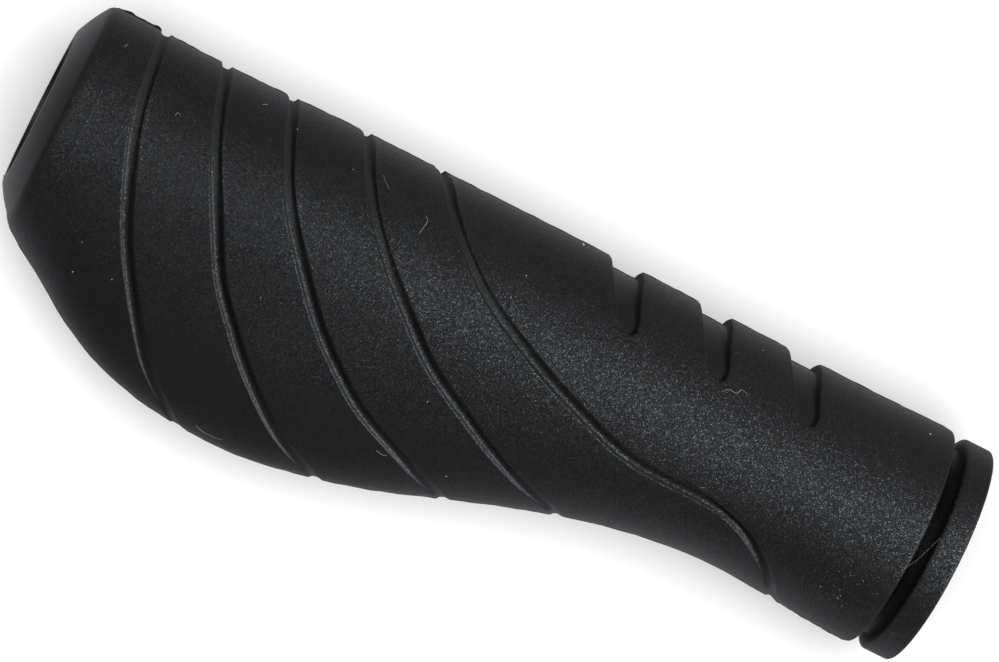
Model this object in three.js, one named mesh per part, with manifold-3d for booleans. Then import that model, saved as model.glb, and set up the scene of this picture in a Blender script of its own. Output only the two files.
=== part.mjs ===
import * as THREE from 'three';
import { mergeVertices } from 'three/addons/utils/BufferGeometryUtils.js';
import Module from 'manifold-3d';

// Moulded rubber handlebar grip with a palm swelling, in millimetres.
// The bore runs along X, from the stop flange at x = 0 to the conical outer end.
// The palm side is +Y, the finger side is -Y, and the form is mirrored about the plane z = 0.

// Walls outward from the bore
const boreRadius = 10.6;
const neckWall = 3.6;
const channelDepth = 2.1;
const flangeHeight = 1.9;

// Lengths from the flange's outer face towards the outer end
const flangeThickness = 3.8;
const channelWidth = 2.4;
const inletLength = 21.8;
const riseLength = 42.8;
const crownLength = 26.7;
const fallLength = 29.0;
const tailLength = 9.6;
const coneLength = 2.8;

// Heights of the outline over the barrel's radius
const waistDip = 1.1;
const riseHeight = 9.2;
const swellHeight = 14.7;
const fallHeight = 6.8;
const tailHeight = 0.4;
const fingerHeight = 0.5;
const swellThickening = 1.1;

// Slopes of the palm outline half way up, half way down and at the shoulder
const riseSlope = 0.375;
const fallSlope = -0.67;
const tailSlope = -0.76;

// Rounded edges
const shoulderRounding = 1.2;
const barrelEdgeRounding = 1.0;
const flangeEdgeRounding = 0.4;
const mouthLand = 0.3;

// Grooves
const grooveWidth = 1.9;
const grooveFloorWidth = 0.8;
const grooveDepth = 0.65;
const grooveCornerLength = 7.0;

// Where each groove crosses the finger side, stepping inward from the outer end
const outerGrooveInset = 11.0;
const grooveSteps = [0, 9.4, 10.1, 11.2, 11.4];

// Each groove's route: [angle round the bore in degrees, distance inward of its start].
// The angle is -90 on the finger line, 0 on the crest and 90 on the palm line.
const grooveRoutes = [
  [[-90, 0], [-43, 0], [-4, 1.8], [33.5, 6.7], [62, 15.4], [78.5, 22.4], [90, 25.1]],
  [[-90, 0], [-46.5, 0.8], [-11, 3.9], [25.5, 9.9], [45, 17.1], [62.5, 26.1], [78.5, 33.9], [90, 36.2]],
  [[-90, 0], [-45.5, 1.2], [-9, 5.4], [23, 13.5], [44.5, 23.8], [61, 34.8], [77.5, 41.5], [90, 43.3]],
  [[-90, 0], [-45, 2.1], [-12, 7.9], [20.5, 18.5], [40, 29.8], [57, 38.8], [74.5, 45.6], [90, 47.3]],
  [
    [-90, 0], [-48, 3.3], [-18, 10.6], [2.5, 21.0], [18, 32.3], [26.5, 41.1],
    [29, 52.5], [35, 58.2], [49, 62.8], [68.5, 66.4], [90, 68.0],
  ],
];

// Finger scallops, the first one measured from the barrel's inner end
const scallopCount = 3;
const scallopStart = 20.9;
const scallopPitch = 14.0;
const scallopDepth = 1.3;
const scallopWallRun = 0.8;
const cutterReach = 0.8;

// Half a scallop's outline: [angle in degrees, distance outward of the scallop's place].
const scallopOuterEdge = [[-90, 5.2], [-66, 4.8], [-48, 3.5], [-36, 1.9], [-31, 0.9], [-29, 0.1]];
const scallopInnerEdge = [[-90, 0], [-58, -0.1], [-45, -0.6], [-36, -1.2], [-31, -1.1], [-29, -0.6]];

// How finely the surface is divided
const halfColumns = 30;
const rowsFromShoulder = 5;
const rowsBetweenGrooves = 3;
const rowsOnBarrel = 9;
const boreRows = 4;
const roundingSteps = 2;
const scallopRows = 9;
const mergeDistance = 1e-4;

const neckRadius = boreRadius + neckWall;
const barrelRadius = neckRadius + channelDepth;
const flangeRadius = neckRadius + flangeHeight;

const barrelEnd = flangeThickness + channelWidth;
const waistPlace = barrelEnd + inletLength;
const risePlace = waistPlace + riseLength;
const peakPlace = risePlace + crownLength;
const fallPlace = peakPlace + fallLength;
const shoulderPlace = fallPlace + tailLength;
const shoulderAngle = Math.atan2(barrelRadius - boreRadius - mouthLand, coneLength);
const coneBase = shoulderPlace + shoulderRounding * Math.sin(shoulderAngle);
const outerEnd = coneBase + coneLength;

// Outline stations: where along the bore, how far from its axis, and how steep
const palmLine = [
  { place: barrelEnd, radius: barrelRadius, slope: 0 },
  { place: waistPlace, radius: barrelRadius - waistDip, slope: 0 },
  { place: risePlace, radius: barrelRadius + riseHeight, slope: riseSlope },
  { place: peakPlace, radius: barrelRadius + swellHeight, slope: 0 },
  { place: fallPlace, radius: barrelRadius + fallHeight, slope: fallSlope },
  { place: shoulderPlace, radius: barrelRadius + tailHeight, slope: tailSlope },
];
const fingerLine = [
  { place: barrelEnd, radius: barrelRadius, slope: 0 },
  { place: risePlace, radius: barrelRadius + fingerHeight, slope: 0 },
];
const crestLine = [
  { place: barrelEnd, radius: barrelRadius, slope: 0 },
  { place: waistPlace, radius: barrelRadius, slope: 0 },
  { place: peakPlace, radius: barrelRadius + swellThickening, slope: 0 },
  { place: shoulderPlace, radius: barrelRadius, slope: 0 },
];

const quarterTurn = Math.PI / 2;

const wasm = await Module();
wasm.setup();

// The radius of a smooth line through its stations, which runs on straight past the last one.
function radiusOn(line, x) {
  const last = line[line.length - 1];
  if (x >= last.place) {
    return last.radius + last.slope * (x - last.place);
  }
  let index = 0;
  while (x > line[index + 1].place) {
    index += 1;
  }
  const from = line[index];
  const to = line[index + 1];
  const span = to.place - from.place;
  const t = (x - from.place) / span;
  const rise = t * t * (3 - 2 * t);
  const leaving = t * (1 - t) * (1 - t) * span * from.slope;
  const arriving = t * t * (t - 1) * span * to.slope;
  return from.radius + (to.radius - from.radius) * rise + leaving + arriving;
}

// A point of the grip's skin. The section is round at the fingers and a slim wing at the palm.
function skinPoint(x, angle, inset = 0) {
  const palm = radiusOn(palmLine, x) - inset;
  const finger = radiusOn(fingerLine, x) - inset;
  const crest = radiusOn(crestLine, x) - inset;
  const reach = THREE.MathUtils.lerp(finger, palm, THREE.MathUtils.smoothstep(angle, 0, quarterTurn));
  return new THREE.Vector3(x, reach * Math.sin(angle), crest * Math.cos(angle));
}

function roundPoint(x, radius, angle) {
  return new THREE.Vector3(x, radius * Math.sin(angle), radius * Math.cos(angle));
}

// How the skin runs along the bore and round it at one place.
function skinDirections(x, angle) {
  const step = 0.001;
  const alongBore = skinPoint(x + step, angle).sub(skinPoint(x - step, angle)).divideScalar(2 * step);
  const roundBore = skinPoint(x, angle + step).sub(skinPoint(x, angle - step)).divideScalar(2 * step);
  const outward = alongBore.clone().cross(roundBore).normalize();
  return { alongBore, roundBore, outward };
}

function sunkenPoint(x, angle, depth) {
  const { outward } = skinDirections(x, angle);
  return skinPoint(x, angle).addScaledVector(outward, -depth);
}

// Evenly spaced places along a curve drawn on the skin, from the finger line to the palm line.
function curveOnSkin(knots, startPlace, inwardSign, pieces) {
  const girthPerDegree = THREE.MathUtils.degToRad(barrelRadius);
  const flat = knots.map(([degrees, distance]) => (
    new THREE.Vector2(degrees * girthPerDegree, startPlace + inwardSign * distance)
  ));
  const spaced = new THREE.SplineCurve(flat).getSpacedPoints(pieces);
  return spaced.map((point) => ({ x: point.y, angle: THREE.MathUtils.degToRad(point.x / girthPerDegree) }));
}

// The curve that runs beside another on the skin, towards the outer end if the distance is positive.
// Near the finger and palm lines it slides along itself, so that both halves meet in a mitre.
function curveBeside(curve, distance) {
  const points = curve.map(({ x, angle }) => skinPoint(x, angle));
  const last = curve.length - 1;
  const frames = curve.map(({ x, angle }, index) => {
    const directions = skinDirections(x, angle);
    const before = points[Math.max(index - 1, 0)];
    const after = points[Math.min(index + 1, last)];
    const forward = after.clone().sub(before).normalize();
    const sideways = forward.clone().cross(directions.outward).normalize();
    return { ...directions, forward, sideways };
  });
  const slideAt = ({ forward, sideways }) => -distance * sideways.z / forward.z;
  return curve.map(({ x, angle }, index) => {
    const { alongBore, roundBore, forward, sideways } = frames[index];
    const fadeFromStart = fadeOut(points[index].distanceTo(points[0]) / grooveCornerLength);
    const fadeFromEnd = fadeOut(points[index].distanceTo(points[last]) / grooveCornerLength);
    const slide = slideAt(frames[0]) * fadeFromStart + slideAt(frames[last]) * fadeFromEnd;
    const move = sideways.clone().multiplyScalar(distance).addScaledVector(forward, slide);
    const turn = move.clone().addScaledVector(alongBore, -move.x).dot(roundBore) / roundBore.lengthSq();
    return { x: x + move.x, angle: angle + turn };
  });
}

function fadeOut(share) {
  return Math.max(1 - share, 0) ** 2;
}

function curveBetween(curveA, curveB, share) {
  return curveA.map((place, index) => ({
    x: THREE.MathUtils.lerp(place.x, curveB[index].x, share),
    angle: THREE.MathUtils.lerp(place.angle, curveB[index].angle, share),
  }));
}

function straightCurve(x) {
  return Array.from({ length: halfColumns + 1 }, (_, index) => ({
    x,
    angle: Math.PI * (index / halfColumns - 0.5),
  }));
}

// Half a ring of points, from the finger line over the crest to the palm line.
const skinRow = (curve, depth = 0) => curve.map(({ x, angle }) => sunkenPoint(x, angle, depth));
const insetRow = (x, inset) => straightCurve(x).map(({ angle }) => skinPoint(x, angle, inset));
const roundRow = (x, radius) => straightCurve(x).map(({ angle }) => roundPoint(x, radius, angle));

// The rows of a rounded edge, given as shares of its radius along the bore and inward.
function roundingRows(turn, makeRow) {
  const rows = [];
  for (let step = 0; step <= roundingSteps; step += 1) {
    const angle = turn * step / roundingSteps;
    rows.push(makeRow(Math.sin(angle), 1 - Math.cos(angle)));
  }
  return rows;
}

function rowsBetween(curveA, curveB, count) {
  const rows = [];
  for (let step = 1; step <= count; step += 1) {
    rows.push(skinRow(curveBetween(curveA, curveB, step / (count + 1))));
  }
  return rows;
}

// The mouth, the cone and its rounded shoulder, from the bore outward.
function outerEndRows() {
  const shoulder = roundingRows(shoulderAngle, (along, inward) => (
    insetRow(shoulderPlace + shoulderRounding * along, shoulderRounding * inward)
  ));
  return [
    roundRow(outerEnd, boreRadius),
    roundRow(outerEnd, boreRadius + mouthLand),
    ...shoulder.reverse(),
  ];
}

// The skin from the shoulder to the barrel's rounded inner edge, with its grooves.
function skinRows() {
  const rows = [];
  let previous = straightCurve(shoulderPlace);
  let start = outerEnd - outerGrooveInset;
  grooveRoutes.forEach((route, index) => {
    start -= grooveSteps[index];
    const centre = curveOnSkin(route, start, -1, halfColumns);
    const outerEdge = curveBeside(centre, grooveWidth / 2);
    const innerEdge = curveBeside(centre, -grooveWidth / 2);
    rows.push(...rowsBetween(previous, outerEdge, index === 0 ? rowsFromShoulder : rowsBetweenGrooves));
    rows.push(skinRow(outerEdge));
    rows.push(skinRow(curveBeside(centre, grooveFloorWidth / 2), grooveDepth));
    rows.push(skinRow(curveBeside(centre, -grooveFloorWidth / 2), grooveDepth));
    rows.push(skinRow(innerEdge));
    previous = innerEdge;
  });
  rows.push(...rowsBetween(previous, straightCurve(barrelEnd + barrelEdgeRounding), rowsOnBarrel));
  return rows;
}

// The barrel's inner edge, the neck in the channel and the flange, then back into the bore.
function innerEndRows() {
  const barrelEdge = roundingRows(quarterTurn, (along, inward) => (
    insetRow(barrelEnd + barrelEdgeRounding * (1 - along), barrelEdgeRounding * inward)
  ));
  const rimInner = roundingRows(quarterTurn, (along, inward) => (
    roundRow(flangeThickness - flangeEdgeRounding * (1 - along), flangeRadius - flangeEdgeRounding * inward)
  ));
  const rimOuter = roundingRows(quarterTurn, (along, inward) => (
    roundRow(flangeEdgeRounding * (1 - along), flangeRadius - flangeEdgeRounding * inward)
  ));
  return [
    ...barrelEdge,
    roundRow(barrelEnd, neckRadius),
    roundRow(flangeThickness, neckRadius),
    ...rimInner.reverse(),
    ...rimOuter,
    roundRow(0, boreRadius),
  ];
}

function boreInnerRows() {
  const rows = [];
  for (let step = 1; step <= boreRows; step += 1) {
    rows.push(roundRow(outerEnd * step / (boreRows + 1), boreRadius));
  }
  return rows;
}

const mirrored = (point) => new THREE.Vector3(point.x, point.y, -point.z);

// A closed solid from half rows that are mirrored into rings, the last ring joining the first.
function solidFromRings(halfRows) {
  const rings = halfRows.map((half) => [...half, ...half.slice(1, -1).reverse().map(mirrored)]);
  const columns = rings[0].length;
  const index = [];
  for (let row = 0; row < rings.length; row += 1) {
    const nextRow = (row + 1) % rings.length;
    for (let column = 0; column < columns; column += 1) {
      const nextColumn = (column + 1) % columns;
      const corner = row * columns + column;
      const across = row * columns + nextColumn;
      const below = nextRow * columns + column;
      const opposite = nextRow * columns + nextColumn;
      index.push(corner, across, below, across, opposite, below);
    }
  }
  return toSolid(rings.flat(), index);
}

// One scallop's cutter: its section is swept from tip to tip across the finger line.
function scallopCutter(place) {
  const outer = curveOnSkin(scallopOuterEdge, place, 1, scallopRows);
  const inner = curveOnSkin(scallopInnerEdge, place, 1, scallopRows);
  const wallRunAbove = scallopWallRun * cutterReach / scallopDepth;
  const front = outer.map((edge, index) => {
    const shoulder = inner[index];
    const run = Math.min(scallopWallRun, (edge.x - shoulder.x) / 2);
    return [
      sunkenPoint(edge.x, edge.angle, -cutterReach),
      sunkenPoint(edge.x, edge.angle, scallopDepth),
      sunkenPoint(shoulder.x + run, shoulder.angle, scallopDepth),
      sunkenPoint(shoulder.x - wallRunAbove, shoulder.angle, -cutterReach),
    ];
  });
  const sections = [
    ...front.slice(1).reverse(),
    ...front.map((section) => section.map(mirrored)),
  ];
  const corners = sections[0].length;
  const index = [];
  for (let row = 0; row < sections.length - 1; row += 1) {
    for (let corner = 0; corner < corners; corner += 1) {
      const here = row * corners + corner;
      const beside = row * corners + (corner + 1) % corners;
      index.push(here, here + corners, beside, beside, here + corners, beside + corners);
    }
  }
  const lastRow = (sections.length - 1) * corners;
  for (let corner = 1; corner < corners - 1; corner += 1) {
    index.push(0, corner, corner + 1);
    index.push(lastRow, lastRow + corner + 1, lastRow + corner);
  }
  return toSolid(sections.flat(), index);
}

function toSolid(points, index) {
  const geometry = new THREE.BufferGeometry().setFromPoints(points);
  geometry.setIndex(index);
  const merged = mergeVertices(geometry, mergeDistance);
  return new wasm.Manifold(new wasm.Mesh({
    numProp: 3,
    vertProperties: new Float32Array(merged.attributes.position.array),
    triVerts: new Uint32Array(merged.index.array),
  }));
}

function toGeometry(solid) {
  const mesh = solid.getMesh();
  const geometry = new THREE.BufferGeometry();
  geometry.setAttribute('position', new THREE.BufferAttribute(new Float32Array(mesh.vertProperties), 3));
  geometry.setIndex(new THREE.BufferAttribute(new Uint32Array(mesh.triVerts), 1));
  geometry.computeVertexNormals();
  return geometry;
}

function makeSleeve() {
  return solidFromRings([...outerEndRows(), ...skinRows(), ...innerEndRows(), ...boreInnerRows()]);
}

function makeGrip() {
  let sleeve = makeSleeve();
  for (let number = 0; number < scallopCount; number += 1) {
    sleeve = sleeve.subtract(scallopCutter(barrelEnd + scallopStart + number * scallopPitch));
  }
  const rubber = new THREE.MeshStandardMaterial({ color: 0x222326, roughness: 0.62, metalness: 0 });
  const grip = new THREE.Mesh(toGeometry(sleeve), rubber);
  grip.name = 'grip';
  return grip;
}

const handlebarGrip = new THREE.Group();
handlebarGrip.add(makeGrip());

export default handlebarGrip;
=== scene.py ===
import math
import random

import bpy
import numpy as np
from mathutils import Matrix, Vector


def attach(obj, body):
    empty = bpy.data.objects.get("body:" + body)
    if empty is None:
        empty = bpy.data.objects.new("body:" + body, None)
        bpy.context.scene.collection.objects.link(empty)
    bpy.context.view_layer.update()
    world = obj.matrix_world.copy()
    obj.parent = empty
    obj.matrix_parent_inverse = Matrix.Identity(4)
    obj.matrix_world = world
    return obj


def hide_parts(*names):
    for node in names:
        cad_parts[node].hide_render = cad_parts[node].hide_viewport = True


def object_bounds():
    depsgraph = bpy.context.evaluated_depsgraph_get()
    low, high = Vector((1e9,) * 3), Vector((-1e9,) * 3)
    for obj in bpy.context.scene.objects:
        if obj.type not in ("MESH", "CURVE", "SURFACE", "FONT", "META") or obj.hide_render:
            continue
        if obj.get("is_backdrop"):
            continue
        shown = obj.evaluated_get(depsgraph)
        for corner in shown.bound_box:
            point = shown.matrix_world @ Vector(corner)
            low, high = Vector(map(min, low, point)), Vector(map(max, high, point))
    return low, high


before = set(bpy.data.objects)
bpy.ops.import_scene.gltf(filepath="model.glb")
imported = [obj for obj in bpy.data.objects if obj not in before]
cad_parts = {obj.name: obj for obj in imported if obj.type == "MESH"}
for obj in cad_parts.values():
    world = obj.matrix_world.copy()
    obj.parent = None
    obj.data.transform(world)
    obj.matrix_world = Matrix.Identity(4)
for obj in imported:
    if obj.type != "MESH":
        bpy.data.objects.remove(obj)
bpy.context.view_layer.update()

bl_info = {
    "name": "Handlebar Grip",
    "version": (1, 0, 0),
    "blender": (4, 5, 0),
    "location": "3D View > Sidebar > Grip",
    "description": "Makes a moulded rubber handlebar grip and a small studio round it",
    "category": "Object",
}

# The form is worked out in millimetres and becomes metres when a mesh is made.
MM = 0.001

BORE_RADIUS = 10.6
NECK_RADIUS = 14.2
FLANGE_RADIUS = 16.25
BARREL_RADIUS = 16.3
FLANGE_THICKNESS = 4.1
BARREL_END = 6.2
SHOULDER = 136.25
CONE_LENGTH = 2.4
MOUTH_LAND = 1.05
SHOULDER_ROUNDING = 1.6
BARREL_EDGE_ROUNDING = 0.35

# The cone bulges a little, so it meets the shoulder at a flatter angle than a straight cone would.
CONE_RISE = BARREL_RADIUS - BORE_RADIUS - MOUTH_LAND
CONE_SLANT = 5.2
CONE_BULGE = 0.13
CONE_BULGE_TURN = 0.115
SHOULDER_ANGLE = math.atan2(CONE_RISE, CONE_LENGTH) - CONE_BULGE_TURN
CONE_BASE = SHOULDER + SHOULDER_ROUNDING * math.sin(SHOULDER_ANGLE)
OUTER_END = CONE_BASE + CONE_LENGTH

# Rows of the mouth: how far in from the outer end, how far outside the bore.
MOUTH_LIP = ((0.12, 0.0), (0.03, 0.03), (0.0, 0.11), (0.0, 0.2))
MOUTH_EDGE = 0.05
MOUTH_NUB = 0.35
CONE_SHARES = (0.04, 0.13, 0.28, 0.43, 0.58, 0.72, 0.86)
SHOULDER_STEPS = 7

# How much less polished the cone's base is than its mouth, and how polished the shoulder starts.
CONE_POLISH_LOSS = 0.4
SHOULDER_POLISH = 0.6

# The band behind the shoulder, and the fine ring at its end as places and shares of its height.
BAND_ROWS = (SHOULDER, 135.9, 135.2, 134.6, 134.2)
WITNESS_RING = ((134.1, 0.4), (134.02, 1.0), (133.94, 0.9), (133.86, 0.2))
GROOVES_START = 133.7

# The inner end: each fillet of the channel is a distance along the bore and a rise above the neck.
BARREL_EDGE_STEPS = 6
# Painted shade on the barrel's rounded edge where it turns down into the channel.
BARREL_EDGE_SHADE = 0.9
CHANNEL_FILLET = ((0.0, 0.35), (0.09, 0.1), (0.3, 0.0), (0.9, 0.0))
# Painted shade in the channel beside the flange, and how far from the flange's face it reaches.
CHANNEL_SHADE = 0.7
CHANNEL_SHADE_REACH = 0.6
FLANGE_CORNER_STEPS = 5
FLANGE_FACE_RINGS = (3.2, 0.9, 0.4)
FLANGE_FACE_POLISH = 0.6
INNER_MOUTH = ((0.1, 0.1), (0.4, 0.0))
BORE_ROWS = 9

# Outline stations: where along the bore, how far from its axis, and how steep.
PALM_LINE = np.array([
    (6.2, 16.4, 0.0), (28.0, 15.2, 0.0), (70.8, 25.38, 0.365), (84.0, 29.15, 0.215),
    (97.5, 31.0, 0.0), (126.5, 23.15, -0.7), (136.5, 16.6, -0.74),
])
FINGER_LINE = np.array([
    (6.2, 16.4, 0.0), (18.0, 16.3, 0.0), (70.8, 16.85, 0.0),
    (98.0, 16.88, 0.0), (118.0, 16.5, 0.0), (136.5, 16.8, 0.0),
])
CREST_LINE = np.array([(6.2, 16.3, 0.0), (28.0, 16.3, 0.0), (97.5, 17.4, 0.0), (136.5, 16.3, 0.0)])

# Each groove's place on the finger line and its route: angle round the bore, distance inward.
GROOVES = (
    (128.965, ((-90, 0), (-43, 0), (-4, 1.8), (33.5, 6.7), (62, 15.4), (78.5, 22.4), (90, 25.1))),
    (119.565, (
        (-90, 0), (-46.5, 0.8), (-11, 3.9), (25.5, 9.9), (45, 17.1), (62.5, 26.1), (78.5, 33.9), (90, 36.2),
    )),
    (109.465, (
        (-90, 0), (-45.5, 1.2), (-9, 5.4), (23, 13.5), (44.5, 23.8), (61, 34.8), (77.5, 41.5), (90, 43.3),
    )),
    (98.265, (
        (-90, 0), (-45, 2.1), (-12, 7.9), (20.5, 18.5), (40, 29.8), (57, 38.8), (74.5, 45.6), (90, 47.3),
    )),
    (86.865, (
        (-90, 0), (-48, 3.3), (-18, 10.6), (2.5, 21.0), (18, 32.3), (26.5, 41.1),
        (29, 52.5), (35, 58.2), (49, 62.8), (68.5, 66.4), (90, 68.0),
    )),
)
# Over this distance from the finger and palm lines a groove's sides slide into the mitre.
GROOVE_CORNER = 7.0
FIRST_SPAN_ROWS, SPAN_ROWS = 16, 11

# A groove's section from its steep outer wall inward: share of the half width, share of the depth.
# At the fingers it has a flat floor, and towards the palm a long inner flank.
FINGER_SECTION = np.array([
    (1.26, 0.0), (1.12, 0.0), (1.02, 0.03), (0.94, 0.14), (0.87, 0.32), (0.8, 0.54), (0.72, 0.74),
    (0.62, 0.88), (0.48, 0.96), (0.3, 1.0), (0.1, 1.0), (-0.1, 0.99), (-0.3, 0.97), (-0.46, 0.9),
    (-0.58, 0.76), (-0.7, 0.52), (-0.8, 0.26), (-0.88, 0.04), (-0.98, -0.1), (-1.1, -0.06), (-1.22, 0.0),
])
PALM_SECTION = np.array([
    (0.92, 0.0), (0.78, 0.0), (0.68, 0.03), (0.6, 0.12), (0.53, 0.27), (0.46, 0.47), (0.38, 0.68),
    (0.28, 0.84), (0.14, 0.94), (-0.04, 0.99), (-0.2, 1.0), (-0.36, 0.94), (-0.54, 0.81), (-0.72, 0.63),
    (-0.9, 0.41), (-1.08, 0.2), (-1.24, 0.05), (-1.36, 0.0), (-1.48, 0.0), (-1.6, 0.0), (-1.72, 0.0),
])
# Each groove's share of the full depth, and how it changes with the angle in degrees round the bore.
GROOVE_STRENGTH = (0.8, 0.95, 1.0, 1.0, 1.0)
FINGER_STRENGTH = 0.62
FINGER_NARROWING = 0.12
PALM_TURN = (-20, 15)
PALM_FADE, PALM_FADE_LOSS = (45, 80), 0.55
NOTCH_TURN, NOTCH_GAIN = (-62, -82), 0.3
# Painted shade on the groove floors towards the finger line, coming in between these angles in degrees.
SHADE_TURN, GROOVE_SHADE = (-30, -50), 0.4
# How polished the groove floors are at the fingers and at the palm; polish also makes them paler, a painted
# sheen.
FINGER_FLOOR_POLISH, PALM_FLOOR_POLISH = 0.3, 0.1

# Each scallop's place and where the seams from its tip meet the palm line.
SCALLOPS = ((55.1, 16.0, 15.2), (41.1, 13.0, 12.2), (27.1, 10.0, 9.2))
SCALLOP_OUTER_EDGE = (
    (-90, 5.2), (-66, 4.8), (-48, 3.5), (-36, 2.25), (-31.5, 1.6), (-29.4, 0.8), (-29, 0.1),
)
SCALLOP_INNER_EDGE = (
    (-90, 0.0), (-58, -0.1), (-45, -0.6), (-36, -1.15), (-31.5, -1.1), (-29.4, -0.8), (-29, -0.2),
)
SCALLOP_TIP = math.radians(-29)

# A pocket's depth fades over this distance from its tip, its walls narrow below this width, and it is
# shallower towards the tip by this share between these degrees.
SCALLOP_FADE = 0.4
SCALLOP_FULL_WIDTH = 1.7
SCALLOP_SHALLOWING, SHALLOWING_TURN = 0.6, (-82, -37)
POCKET_FLOOR_ROWS = 2
POCKET_POLISH = 0.08
POCKET_PLAINNESS = 0.75
FIRST_BARREL_ROWS, BARREL_ROWS, LAST_BARREL_ROWS = 18, 8, 16

# A scallop's section from each edge into the pocket: distance, share of the depth.
STEEP_WALL = (
    (-0.26, 0.0), (-0.14, 0.005), (-0.04, 0.04), (0.02, 0.11),
    (0.05, 0.32), (0.09, 0.88), (0.15, 0.98), (0.3, 1.0),
)
SOFT_WALL = (
    (0.52, 1.0), (0.41, 0.985), (0.32, 0.93), (0.25, 0.81), (0.19, 0.63),
    (0.135, 0.43), (0.085, 0.23), (0.03, 0.08), (-0.06, 0.015), (-0.2, 0.0),
)
# Painted shade on a scallop's softer wall, between these shares of the depth.
WALL_SHADE = 0.55
WALL_SHADE_BETWEEN = (0.1, 0.99)

# The mould's parting line: how its height and its painted shade, a dark line standing in for the shadow
# beside the ridge, fall off over the columns nearest to it.
RIDGE_SECTION = (1.0, 0.72, 0.1)
PARTING_SHADE = (1.0, 1.0, 0.8, 0.3)
RIDGE_LOWEST = 0.5
PALM_WAVER_START = 40

# Fins of flash on the finger side's parting line: where along the bore, half length, height.
FIN_SECTION = (1.0, 0.28, 0.0)
FIN_SPOTS = (
    (134.5, 0.7, 0.24), (132.2, 1.6, 0.16), (130.3, 0.5, 0.2), (21.5, 0.45, 0.13), (7.3, 0.35, 0.16),
)

# The etched grain is weaker towards the finger and palm lines, and where the mould was polished.
WORN_TURN, WORN_LOSS = (38, 64), 0.5
POLISH_LOSS = 0.65

# The columns of each half's mesh: the closest ones beside the two lines, and a scallop's share of them.
HALF_COLUMNS = 120
EDGE_SHARES = (0.0018, 0.0042, 0.009)
TIP_SHARE = 0.36
TIP_CROWDING = 1.25

# Which random values make a grain bright, a painted glint, or warm, a patch dull or scuffed, how much of the
# pale polished colour, partly a painted sheen, polish brings, how much rougher painted shade makes the
# rubber, and which polish is coated.
BRIGHT_GRAINS, WARM_GRAINS, WARMTH = (0.72, 0.96), (0.8, 1.0), 0.8
DULL_PATCHES, SCUFFS, SCUFF_ROUGHNESS = (0.35, 0.7), (0.35, 0.65), 0.03
POLISHED_SHEEN_SHARE, SHADE_ROUGHNESS = 0.8, 0.5
COATED_POLISH, COAT_WEIGHT, COAT_ROUGHNESS = (0.15, 1.0), 0.55, 0.45


def column_shares():
    """Where the columns stand between the finger line and the palm line, closest beside the two lines."""
    edge = len(EDGE_SHARES)
    middle = np.linspace(EDGE_SHARES[-1], 1 - EDGE_SHARES[-1], HALF_COLUMNS + 1 - 2 * edge)
    near = np.array((0.0,) + EDGE_SHARES[:-1])
    return np.concatenate([near, middle, 1 - near[::-1]])


SHARES = column_shares()


def ease(t):
    """A smooth run from 0 to 1."""
    return t * t * (3 - 2 * t)


def ramp(value, start, end):
    """How far a value has come from start to end, from 0 to 1."""
    return np.clip((value - start) / (end - start), 0, 1)


def radius_on(line, x):
    """The radius of a smooth line through its stations, which runs on straight past the last one."""
    place, radius, slope = line.T
    index = np.clip(np.searchsorted(place, x, side="right") - 1, 0, len(place) - 2)
    span = place[index + 1] - place[index]
    t = (x - place[index]) / span
    leaving = t * (1 - t) ** 2 * span * slope[index]
    arriving = t * t * (t - 1) * span * slope[index + 1]
    inside = radius[index] + (radius[index + 1] - radius[index]) * ease(t) + leaving + arriving
    return np.where(x >= place[-1], radius[-1] + slope[-1] * (x - place[-1]), inside)


def skin_point(x, angle, inset=0.0):
    """Points of the grip's skin, whose section is round at the fingers and a slim wing at the palm."""
    palm = radius_on(PALM_LINE, x) - inset
    finger = radius_on(FINGER_LINE, x) - inset
    crest = radius_on(CREST_LINE, x) - inset
    reach = finger + (palm - finger) * ease(ramp(angle, 0, math.pi / 2))
    return np.stack([x + 0 * angle, reach * np.sin(angle), crest * np.cos(angle)], axis=-1)


def unit(vectors):
    """Vectors of length one."""
    return vectors / np.linalg.norm(vectors, axis=-1, keepdims=True)


def skin_directions(x, angle):
    """How the skin runs along the bore and round it, and which way is out of it."""
    step = 0.001
    along = (skin_point(x + step, angle) - skin_point(x - step, angle)) / (2 * step)
    around = (skin_point(x, angle + step) - skin_point(x, angle - step)) / (2 * step)
    return along, around, unit(np.cross(along, around))


def smooth_through(knots, steps=60):
    """A dense flat curve through its knots."""
    knots = np.asarray(knots, float)
    last = len(knots) - 1
    t = np.linspace(0, 1, steps, endpoint=False)[:, None]
    pieces = []
    for index in range(last):
        here, there = knots[index], knots[index + 1]
        leave = (there - knots[max(index - 1, 0)]) / 2
        arrive = (knots[min(index + 2, last)] - here) / 2
        cubic = (2 * (here - there) + leave + arrive) * t ** 3
        square = (3 * (there - here) - 2 * leave - arrive) * t ** 2
        pieces.append(cubic + square + leave * t + here)
    return np.vstack(pieces + [knots[-1:]])


def spread(line, shares):
    """Points at these shares of a dense flat line's length."""
    run = np.concatenate([[0.0], np.cumsum(np.linalg.norm(np.diff(line, axis=0), axis=1))])
    return np.stack([np.interp(shares * run[-1], run, part) for part in line.T], axis=-1)


def curve_on_skin(knots, start, sign, shares):
    """Places (x, angle) on the skin along a route of angles and distances from its start."""
    girth = math.radians(BARREL_RADIUS)
    flat = smooth_through([(degrees * girth, start + sign * distance) for degrees, distance in knots])
    placed = spread(flat, shares)
    return np.stack([placed[:, 1], np.radians(placed[:, 0] / girth)], axis=-1)


def fade_out(distance):
    """How much a groove's sides slide at this distance from the finger or palm line."""
    return np.maximum(1 - distance / GROOVE_CORNER, 0) ** 2


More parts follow.
